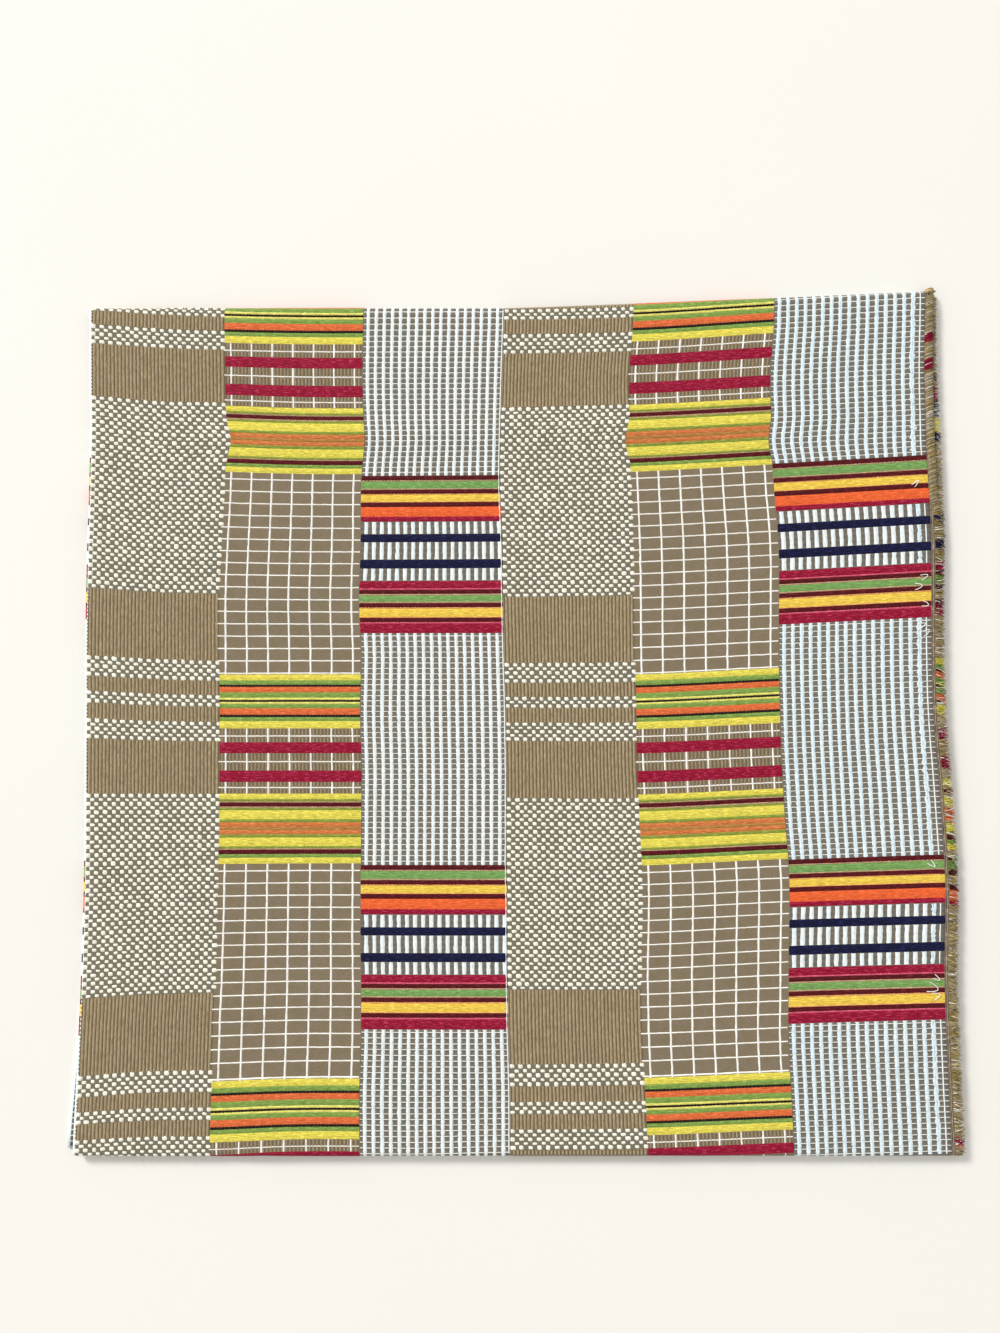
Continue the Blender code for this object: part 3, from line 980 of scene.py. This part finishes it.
def makeDots():
    patches = Patches()
    side = np.linspace(-1, 1, 5)
    across, down = np.meshgrid(side, side)
    pull = 1 - 0.06 * np.abs(across * down)
    ring = np.maximum(np.abs(across), np.abs(down))
    for strip in (0, 3):
        left = chart["stripStarts"][strip]
        middles = []
        for name, start, end in bandsShown("dots"):
            if name != "dots":
                continue
            for step in range(round((end - start) / dotRow)):
                v = start + (step + 0.5) * dotRow
                if not shownRows["low"] < v < shownRows["high"] - 2:
                    continue
                small = step % 2
                count = 15 if small else 16
                p = left + dotFirst + dotPitch * (np.arange(count) + small * 0.5)
                middles.append(np.stack([p, np.full(count, v), np.full(count, small)], axis=-1))
        middles = np.concatenate(middles)
        count = len(middles)
        small = middles[:, 2:3, None] > 0
        half = [np.where(small, dots["small"][k], dots["big"][k]) for k in (0, 1)]
        half = [size * (1 + dots["uneven"] * draw.standard_normal((count, 1, 1))) for size in half]
        tilt = draw.normal(0, 0.09, (count, 1, 1))
        gridX = across * pull * half[0]
        gridY = down * pull * half[1]
        p = middles[:, 0:1, None] + gridX * np.cos(tilt) - gridY * np.sin(tilt)
        v = middles[:, 1:2, None] + gridX * np.sin(tilt) + gridY * np.cos(tilt)
        p = p + draw.normal(0, dots["stray"], (count, 1, 1))
        v = v + draw.normal(0, dots["stray"] * 0.6, (count, 1, 1))
        rise = np.broadcast_to(profile(ring, dots["crown"]), p.shape)
        patches.add(strip, p, v, rise)
    finish = yarnFinish("cream_floats", "cream", "FFFDF6", "DDD3BC", 0.4)
    return patches.build("cream_dots", [finish])


creamDots = makeDots()


def uprightRun(patches, strip, middles, start, end, half, crown, stretch, finish=0, waver=0.06, beat=0.0):
    # narrow ribbons along the cloth, one for each middle, from row start to row end
    rows = max(2, int(math.ceil((end - start) / stretch)) + 1)
    v = np.linspace(start, end, rows)
    shares = np.linspace(-1, 1, 4)
    middles = np.asarray(middles, float)
    count = len(middles)
    stray = draw.normal(0, waver, (count, rows, 1))
    pinch = beat * np.cos(2 * math.pi * v / crossPitch)[None, :, None]
    wide = half * (1 + draw.normal(0, 0.07, (count, rows, 1)) + pinch)
    p = middles[:, None, None] + stray + wide * shares[None, None, :]
    vs = np.broadcast_to(v[None, :, None], p.shape)
    rise = profile(shares * 0.93, crown) * (1 + 2.0 * pinch) + 0.0 * p
    patches.add(strip, p, vs, rise, finish)


def crossRun(patches, strip, start, end, tops, bottoms, stretch, crown, finish=0, teeth=0.0, lines=4):
    # ribbons across the cloth, one for each pair of top and bottom rows
    columns = max(2, int(math.ceil((end - start) / stretch)) + 1)
    p = np.linspace(start, end, columns)
    tops = np.asarray(tops, float)
    bottoms = np.asarray(bottoms, float)
    count = len(tops)
    shares = np.linspace(-1, 1, lines)
    stray = draw.normal(0, 0.05, (count, 1, columns))
    notch = teeth * np.cos(2 * math.pi * p / ribPitch)[None, None, :]
    middle = ((tops + bottoms) / 2)[:, None, None]
    half = ((bottoms - tops) / 2)[:, None, None]
    vs = middle + stray + (half + notch) * shares[None, :, None]
    ps = np.broadcast_to(p[None, None, :], vs.shape)
    rise = np.broadcast_to(profile(shares * 0.96, crown)[None, :, None], vs.shape)
    patches.add(strip, ps, vs, rise, finish)


# Khaki ribs of the dotted strips, and the fine ribs of the grid strips
ribs = {"half": 0.84, "crown": 0.5, "fineHalf": 0.62, "fineCrown": 0.3, "spill": 0.2, "fineFirst": 2.03}


def makeRibs():
    patches = Patches()
    for strip in (0, 3):
        left = chart["stripStarts"][strip]
        middles = left + ribFirst + ribPitch * np.arange(36)
        for name, start, end in clippedBands("dots"):
            if name == "ribs":
                uprightRun(patches, strip, middles, start - ribs["spill"], end + ribs["spill"],
                           ribs["half"], ribs["crown"], 5.0)
    for strip in (1, 4):
        left = chart["stripStarts"][strip]
        middles = left + ribs["fineFirst"] + ribPitch * np.arange(38)
        for name, start, end in clippedBands("grid"):
            if name == "ribs":
                uprightRun(patches, strip, middles, start, end, ribs["fineHalf"], ribs["fineCrown"], 4, 1)
    khaki = yarnFinish("khaki_ribs", "khaki", "B9A588", "867150", 0.6, False)
    brown = yarnFinish("brown_ribs", "9C8A6C", "B5A284", "7F6D52", 0.5, False)
    return patches.build("khaki_ribs", [khaki, brown])


khakiRibs = makeRibs()


# White lines of the grid strips
gridLines = {
    "half": 0.66,
    "crown": 0.46,
    "stretch": 3.0,  # how far apart a line's points are
    "crossHalf": 0.5,
    "crossCrown": 0.34,
    "crossStretch": 2.2,
    "tail": 1.2,  # how far a cross line starts before its strip, and before it in the ribs
    "ribTail": 0.6,
    "inset": 0.5,
}


def makeGridLines():
    patches = Patches()
    form = gridLines["half"], gridLines["crown"], gridLines["stretch"]
    half = gridLines["crossHalf"]
    crossForm = gridLines["crossStretch"], gridLines["crossCrown"]
    for strip in (1, 4):
        left, right = chart["stripStarts"][strip:strip + 2]
        middles = left + gridFirst + gridPitch * np.arange(7)
        for name, start, end in clippedBands("grid"):
            if name == "ribs":
                uprightRun(patches, strip, middles, start, end, *form)
        for start, low, high in openRows("grid"):
            uprightRun(patches, strip, middles, low, high, *form)
            rows = start + gridRowFirst + gridRow * np.arange(17)
            rows = rows[(rows > low) & (rows < high)]
            if len(rows):
                crossRun(patches, strip, left - gridLines["tail"], right - gridLines["inset"],
                         rows - half, rows + half, *crossForm, 1)
        for name, start, end in bandsShown("grid"):
            if name == "ribs":
                row = start + ribLines[round(end - start, 1)]
                if shownRows["low"] < row < shownRows["high"]:
                    crossRun(patches, strip, left - gridLines["ribTail"], right - gridLines["inset"],
                             [row - half], [row + half], *crossForm, 1)
    white = yarnFinish("white_lines", "white", "FFFFFF", "DDD7CA", 0.4, False)
    cream = yarnFinish("cream_lines", "lineCream", "FFFFFA", "DDD5C6", 0.4)
    return patches.build("white_grid_lines", [white, cream])


whiteLines = makeGridLines()


# White and bluish stripes of the striped strips, by turns, with fine cream lines across them
stripes = {
    "openHalf": 1.24,
    "bandedHalf": 1.42,
    "crown": 0.5,
    "beat": 0.13,  # how much a stripe swells and narrows between two cross lines
    "crossHalf": 0.36,
    "crossCrown": 0.3,
    "edgeLine": 103.6,  # the thin line beside the first striped strip's last stripe
    "edgeHalf": 0.45,
    "open": {2: (3.8, 5.99, 17), 5: (3.5, 5.8, 17)},  # first, pitch and count of the stripes in open rows
    "banded": {2: (4.0, 5.8, 18), 5: (3.3, 5.48, 18)},  # and between the navy bands
    "snagged": {"open": 15, "banded": 16},  # the worn stripe beside the selvedge
    "finishes": (  # name, colour, fleck, darker colour for the low streaks and for painted shade in the thread grooves, whether the yarn runs across
        ("white_floats", "F1F7F6", "FFFFFF", "CBD5D5", False),
        ("blue_white_floats", "E4F2F6", "F6FDFF", "BBCFD6", False),
        ("cream_ticks", "F5F3EA", "FFFFFC", "C6C0B4", True),
    ),
    "wornHalf": 0.85,
    "wornCrown": 0.65,
    "wornAsides": (-0.7, 0.0, 0.8),  # it is three loose yarns side by side
    "wornWaver": 0.32,
    "lastHalf": 0.75,
    "endGap": 0.4,  # where a stripe ends short of the bands beside it
    "foldDashes": {"from": 0.05, "to": 0.8, "half": 0.8, "pitch": 2.62},  # floats along the doubling fold
}


def makeStripes():
    patches = Patches()
    for strip in (2, 5):
        left, right = chart["stripStarts"][strip:strip + 2]
        gap = stripes["endGap"]
        spans = [("banded", a + gap, b - gap) for name, a, b in clippedBands("stripes")
                 if name == "uprights"]
        rows = []
        for start, low, high in openRows("stripes"):
            spans.append(("open", low, high))
            rows += [row for row in start + crossPitch * (np.arange(43) + 0.5) if low < row < high]
        for kind, low, high in spans:
            first, pitch, count = stripes[kind][strip]
            middles = left + first + pitch * np.arange(count)
            worn = stripes["snagged"][kind]
            if strip == 5:
                for aside in stripes["wornAsides"]:
                    uprightRun(patches, 5, [middles[worn] + aside], low, high, stripes["wornHalf"],
                               stripes["wornCrown"], 1.1, 1, stripes["wornWaver"])
                uprightRun(patches, 5, middles[worn + 1:], low, high, stripes["lastHalf"],
                           stripes["crown"], 2.6)
                middles = middles[:worn]
            beat = stripes["beat"] if kind == "open" else 0.0
            bluish = int(strip == 5 and kind == "open")
            uprightRun(patches, strip, middles, low, high, stripes[kind + "Half"], stripes["crown"],
                       1.3 if beat else 3.9, bluish, beat=beat)
        if strip == 2:
            uprightRun(patches, strip, [left + stripes["edgeLine"]], shownRows["low"], shownRows["high"],
                       stripes["edgeHalf"], stripes["crown"], 3.0)
        rows = np.array(rows)
        crossRun(patches, strip, left + 0.4, right - 0.4, rows - stripes["crossHalf"],
                 rows + stripes["crossHalf"], 3.0, stripes["crossCrown"], 2, lines=3)
    dash = stripes["foldDashes"]
    rows = np.arange(shownRows["low"], shownRows["high"], dash["pitch"])
    crossRun(patches, 0, dash["from"], dash["to"], rows - dash["half"], rows + dash["half"],
             0.8, stripes["crossCrown"], lines=3)
    finishes = [yarnFinish(name, colour, light, dark, 0.5, across)
                for name, colour, light, dark, across in stripes["finishes"]]
    return patches.build("white_stripes", finishes)


whiteStripes = makeStripes()


# Coloured weft bands
bandForm = {"crown": 0.42, "teeth": 0.2, "stretch": 1.31, "navySpill": 0.5}
thinForm = {"crown": 0.54, "teeth": 0.3, "stretch": 0.655}  # of the twisted black yarns
flecks = {"crimson": "C23C60", "maroon": "7C2424", "navy": "262A64", "black": "3C2E20"}


def ownFinish(prefix, name, lighter, darker, share):
    # a yarn's finish with its own fleck, or else a lighter shade of it, and a darker colour for its low
    # streaks and for painted shade in its thread grooves
    colour = np.array(yarns[name])
    light = flecks.get(name) or tuple(np.minimum(colour * lighter + 0.03, 1))
    return yarnFinish(prefix + name, name, light, tuple(colour * darker), share)


def makeBands():
    names = sorted({yarn for kind in ("grid", "stripes") for yarn, _ in bandsOf[kind] if yarn in yarns})
    patches = Patches()
    for strip in (1, 2, 4, 5):
        kind = kindOf(strip)
        left, right = chart["stripStarts"][strip:strip + 2]
        for yarn, start, end in clippedBands(kind):
            if yarn not in yarns or end - start < 0.3:
                continue
            thin = yarn == "black"
            spill = bandForm["navySpill"] if yarn == "navy" else 0.1
            form = thinForm if thin else bandForm
            crossRun(patches, strip, left + 0.3, right - 0.1, [start - spill], [end + spill],
                     form["stretch"], form["crown"], names.index(yarn), form["teeth"])
    finishes = [ownFinish("weft_", name, 1.25, 0.55, 0.75) for name in names]
    return patches.build("coloured_wefts", finishes)


colouredWefts = makeBands()


# White threads that stand out of the worn stripe
snags = {
    "places": ((589, 97), (588, 141), (591, 207), (587, 213), (592, 225), (589, 241), (593, 246),
               (588, 408), (591, 489), (587, 496), (590, 503)),  # p and row
    "reach": 5.2,
    "rise": 1.3,
    "radius": 0.27,
}


def makeSnags():
    steps = np.linspace(0, 1, 12)
    lines = []
    for p, v in snags["places"]:
        reach = snags["reach"] * draw.uniform(0.6, 1.4)
        heading = draw.uniform(-0.9, 0.9)
        aside = reach * np.sin(math.pi * steps) ** 0.8
        along = reach * draw.uniform(0.5, 1.1) * (steps - 0.5)
        lineP = p + aside * math.cos(heading) - along * math.sin(heading)
        lineV = v + aside * math.sin(heading) + along * math.cos(heading)
        rise = 0.35 + snags["rise"] * np.sin(math.pi * steps)
        lines.append(onCloth(5, np.minimum(lineP, 603), lineV, rise))
    lines = np.array(lines)
    points, faces = yarnTubes(lines, np.full(lines.shape[:2], snags["radius"] * mm), 5, 2)
    weave = np.zeros((len(points), 3))
    weave[:, 0] = np.arange(len(points)) * 0.11
    patches = Patches()
    patches.keep(points, faces, weave, 0)
    finish = yarnFinish("snag_threads", "white", "FFFFFF", "D9DAD2", 0.4)
    return patches.build("snag_threads", [finish])


snagThreads = makeSnags()
print("weave laid")

# The selvedges: a tape of three cords, and the cut weft tails beyond it
selvedge = {
    "cords": ((0.6, 0.46, "mauve"), (1.75, 0.4, "khaki"), (2.8, 0.42, "brown")),  # middle, radius and yarn
    "tailRoot": 2.6,
    "tailReach": 9.6,
    "tailUneven": 0.55,
    "tailRadius": 0.3,
    "taper": (1.0, 1.05, 1.0, 0.85, 0.3),
    "tailShift": 2.0,  # how far the tails' colours lie from the rows of the bands
    "lowest": 0.32,  # no middle of a tail lies nearer to the floor
    "rollFade": 12.0,
    "rollFrom": 172,  # degrees where a rolled tail starts, and how far it goes round
    "rollTurn": 205,
    "oliveTo": 0.34,  # shares of the olive, straw and tan yarns among the khaki ones
    "strawFrom": 0.8,
    "tanFrom": 0.95,
    "creamTop": 0.10,
    "creamElse": 0.05,
    "slope": (-0.10, 0.16),  # how far the tails lean along the edge: mean and spread
    "swing": 0.5,
    "roomTop": 0.85,  # how high the tails arch
    "roomElse": 0.35,
    "cordCells": {"inner": 200, "near turn": 8, "top": 300, "far turn": 8, "bottom": 200},
    "rolledTo": 148.0,  # the outer tape is rolled up from the far fold to this row
    "rollMiddle": 3.5,
    "rollHalf": 3.0,
    "rollHeight": 1.7,
    "every": {"top": 0.27, "inner": 0.62, "bottom": 0.5, "near turn": 0.35, "far turn": 0.35},
}
tailYarns = ("khaki", "olive", "tan", "cream", "yellow", "pale", "green", "orange", "crimson", "maroon",
             "navy", "black", "straw", "mauve", "brown")
plainTails = ((-40, 17), (25, 35), (46, 150), (432, 592))  # rows of the outer tape whose tails are khaki
underTails = ((47, 51, "navy"), (56, 65, "crimson"), (68, 78, "navy"), (80, 89, "pale"), (90, 97, "navy"))


def selvedgeRow(section, share, layer):
    # x, y and row on the sheet of the selvedge at a station
    y = np.full(len(share), nearAxis if section == "near turn" else farAxis(300.0))
    for _ in range(3):
        x = lineX(section, share, layer, y)
        y = stationY(section, share, x, y)
    return x, y, sheetRow(section, share, x, y)


def beyondSelvedge(section, share, layer, beyond, up):
    # a point beside the selvedge, beyond it by some millimetres and above its layer's middle by others
    x, y, w = selvedgeRow(section, share, layer)
    x = x + beyond
    side = fold["halfPitch"] if layer == "outer" else -fold["halfPitch"]
    out = side - up if section in ("inner", "bottom") else side + up
    y, z = outwards(section, share, x, y, farAxis(x), out)
    return worldPoints(x, y, np.maximum(z, selvedge["lowest"]))


def sectionLength(section):
    return {"near turn": nearArc, "far turn": farArc}.get(section, 590.0)


def yarnAt(v):
    # the coloured weft of a row, from the strips whose bands it runs through
    found = np.full(len(v), tailYarns.index("khaki"))
    alias = {"stripGreen": "green", "stripOrange": "orange", "amber": "orange", "pink": "crimson"}
    for kind in ("grid", "stripes"):
        row = (v + (3.0 if kind == "grid" else 0.0) - chart["rowStart"][kind]) % chart["repeat"]
        for name, start, end in placedBands(kind):
            name = alias.get(name, name)
            if name in tailYarns:
                found[(row >= start) & (row < end)] = tailYarns.index(name)
    return found


def makeSelvedge(name, layer):
    patches = Patches()

    def keep(centres, radii, yarn, rows, sides=3, level=1):
        points, faces = yarnTubes(centres, radii, sides, level)
        ring = centres.shape[1]
        place = np.zeros((len(centres), ring, sides, 3))
        place[..., 0] = (np.arange(ring) * 1.6)[None, :, None]
        place[..., 1] = rows[:, None, None]
        place[..., 2] = (np.arange(len(centres)) * 0.73)[:, None, None]
        patches.keep(points, faces, place.reshape(-1, 3), np.repeat(yarn, len(faces) // len(centres)))

    for section in ("inner", "near turn", "top", "far turn", "bottom"):
        length = sectionLength(section)
        rowCount = int(length / selvedge["every"][section])
        start = (np.arange(rowCount) + draw.uniform(0.1, 0.9, rowCount)) / rowCount
        x, y, w = selvedgeRow(section, start, layer)
        v = w + bow(x, y) - selvedge["tailShift"]
        yarn = yarnAt(v)
        mixed = draw.uniform(0, 1, rowCount)
        khaki = tailYarns.index("khaki")
        onTop = section in ("top", "near turn", "far turn") and layer == "outer"
        if onTop:
            for low, high in plainTails:
                yarn[(w > low) & (w < high)] = khaki
        if layer == "under" and section == "top":
            yarn[w < 150] = khaki
            for low, high, other in underTails:
                yarn[(w > low) & (w < high)] = tailYarns.index(other)
        plain = yarn == khaki
        yarn[plain & (mixed < selvedge["oliveTo"])] = tailYarns.index("olive")
        yarn[plain & (mixed > selvedge["strawFrom"])] = tailYarns.index("straw")
        yarn[plain & (mixed > selvedge["tanFrom"])] = tailYarns.index("tan")
        pale = selvedge["creamTop" if section == "top" else "creamElse"]
        yarn[draw.uniform(0, 1, rowCount) < pale] = tailYarns.index("cream")
        steps = np.linspace(0, 1, 5)[None, :]
        reach = selvedge["tailReach"] + draw.normal(0, selvedge["tailUneven"], rowCount)
        slope = draw.normal(*selvedge["slope"], rowCount)
        swing = draw.normal(0, selvedge["swing"], rowCount)
        beyond = selvedge["tailRoot"] + (reach[:, None] - selvedge["tailRoot"]) * steps
        along = (slope[:, None] * steps + 0.5 * swing[:, None] * steps ** 2) * (reach - 2)[:, None]
        room = selvedge["roomTop" if onTop and section == "top" else "roomElse"]
        arch = draw.normal(0.1, room * 0.5, rowCount)[:, None] * np.sin(steps * 2.6)
        up = arch + draw.uniform(-0.2, 0.25, rowCount)[:, None]
        if onTop:
            rolled = np.clip((selvedge["rolledTo"] - w) / selvedge["rollFade"] + 0.5, 0, 1)[:, None]
            turn = math.radians(selvedge["rollFrom"]) - math.radians(selvedge["rollTurn"]) * steps
            wide = 1 + 0.06 * np.sin(w / 17) + draw.normal(0, 0.05, rowCount)
            wide = selvedge["rollHalf"] * wide[:, None]
            high = selvedge["rollHeight"] * (1 + draw.normal(0, 0.06, rowCount))[:, None]
            beyond = beyond * (1 - rolled) + (selvedge["rollMiddle"] + wide * np.cos(turn)) * rolled
            up = up * (1 - rolled) + high * np.sin(turn) * rolled
            along = along * (1 - rolled) + (3.2 + 0.6 * swing[:, None]) * (steps - 0.5) * rolled
        share = np.clip(start[:, None] + (along if section == "top" else -along) / length, 0, 1)
        centres = beyondSelvedge(section, share.ravel(), layer, beyond.ravel(), up.ravel())
        centres = centres.reshape(rowCount, 5, 3)
        radius = selvedge["tailRadius"] * (1 + draw.normal(0, 0.15, rowCount))[:, None]
        taper = np.array(selvedge["taper"])[None, :]
        keep(centres, np.clip(radius * taper, 0.04, 1) * mm, yarn, v)
    for beyond, size, twine in selvedge["cords"]:
        line = []
        for section, cells in selvedge["cordCells"].items():
            shares = np.arange(cells) / cells
            waver = draw.normal(0, 0.07, len(shares))
            line.append(beyondSelvedge(section, shares, layer, beyond + waver, 0.0 * shares))
        line = np.concatenate(line)[None]
        radii = size * (1 + draw.normal(0, 0.06, line.shape[1]))[None] * mm
        keep(line, radii, np.array([tailYarns.index(twine)]), np.zeros(1), 6, 0)
    return patches.build(name, tailFinishes())


madeFinishes = []


def tailFinishes():
    if not madeFinishes:
        madeFinishes.extend(ownFinish("tail_", name, 1.3, 0.5, 0.7) for name in tailYarns)
    return madeFinishes


fringeOuter = makeSelvedge("selvedge_outer", "outer")
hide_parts("fringe_outer")
fringeUnder = makeSelvedge("selvedge_under", "under")
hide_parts("fringe_under")

# Floor, light and camera
studio = {
    "floorSize": 24.0,
    "keyPower": 1700.0,
    "keyPlace": (-8.0, 8.6, 8.6),
    "keySize": 3.4,
    "world": 0.67,
    "cameraPlace": (-0.0112, -0.0168, 0.785),
    "cameraTilt": 3.7,
    "lens": 38.95,
}


def makeFloor():
    half = studio["floorSize"] / 2
    mesh = bpy.data.meshes.new("floor")
    corners = [(-half, -half, 0), (half, -half, 0), (half, half, 0), (-half, half, 0)]
    mesh.from_pydata(corners, [], [(0, 1, 2, 3)])
    finish, tools = newFinish("pale_floor")
    place = tools.node("ShaderNodeTexCoord", None, None, "Object")
    cloud = softNoise(tools, place, 3.0)
    colour = cloud.mix("ECE9E2", "EFECE5")
    coat(tools, {"Base Color": colour, **looks["floor"]})
    mesh.materials.append(finish)
    item = bpy.data.objects.new("floor", mesh)
    bpy.context.scene.collection.objects.link(item)
    return item


def makeLight(name, place, size, power):
    # a square lamp that faces the middle of the floor
    lamp = bpy.data.lights.new(name, "AREA")
    lamp.shape = "SQUARE"
    lamp.size = size
    lamp.energy = power
    item = bpy.data.objects.new(name, lamp)
    item.location = place
    direction = -np.array(place)
    flat = math.hypot(direction[0], direction[1])
    heading = math.atan2(direction[1], direction[0]) - math.pi / 2
    item.rotation_euler = (math.atan2(flat, -direction[2]), 0, heading)
    bpy.context.scene.collection.objects.link(item)
    return item


makeFloor()
makeLight("key", studio["keyPlace"], studio["keySize"], studio["keyPower"])

world = bpy.data.worlds.new("studio")
bpy.context.scene.world = world
world.use_nodes = True
world.node_tree.nodes["Background"].inputs["Color"].default_value = (1.0, 0.995, 0.985, 1.0)
world.node_tree.nodes["Background"].inputs["Strength"].default_value = studio["world"]

lens = bpy.data.cameras.new("camera")
lens.sensor_fit = "HORIZONTAL"
lens.sensor_width = 36.0
lens.lens = studio["lens"]
lens.clip_start = 0.05
camera = bpy.data.objects.new("camera", lens)
camera.location = studio["cameraPlace"]
camera.rotation_euler = (math.radians(studio["cameraTilt"]), 0, 0)
bpy.context.scene.collection.objects.link(camera)
bpy.context.scene.camera = camera
bpy.context.scene.view_settings.view_transform = "Standard"
bpy.context.scene.view_settings.look = "None"


print("studio set")
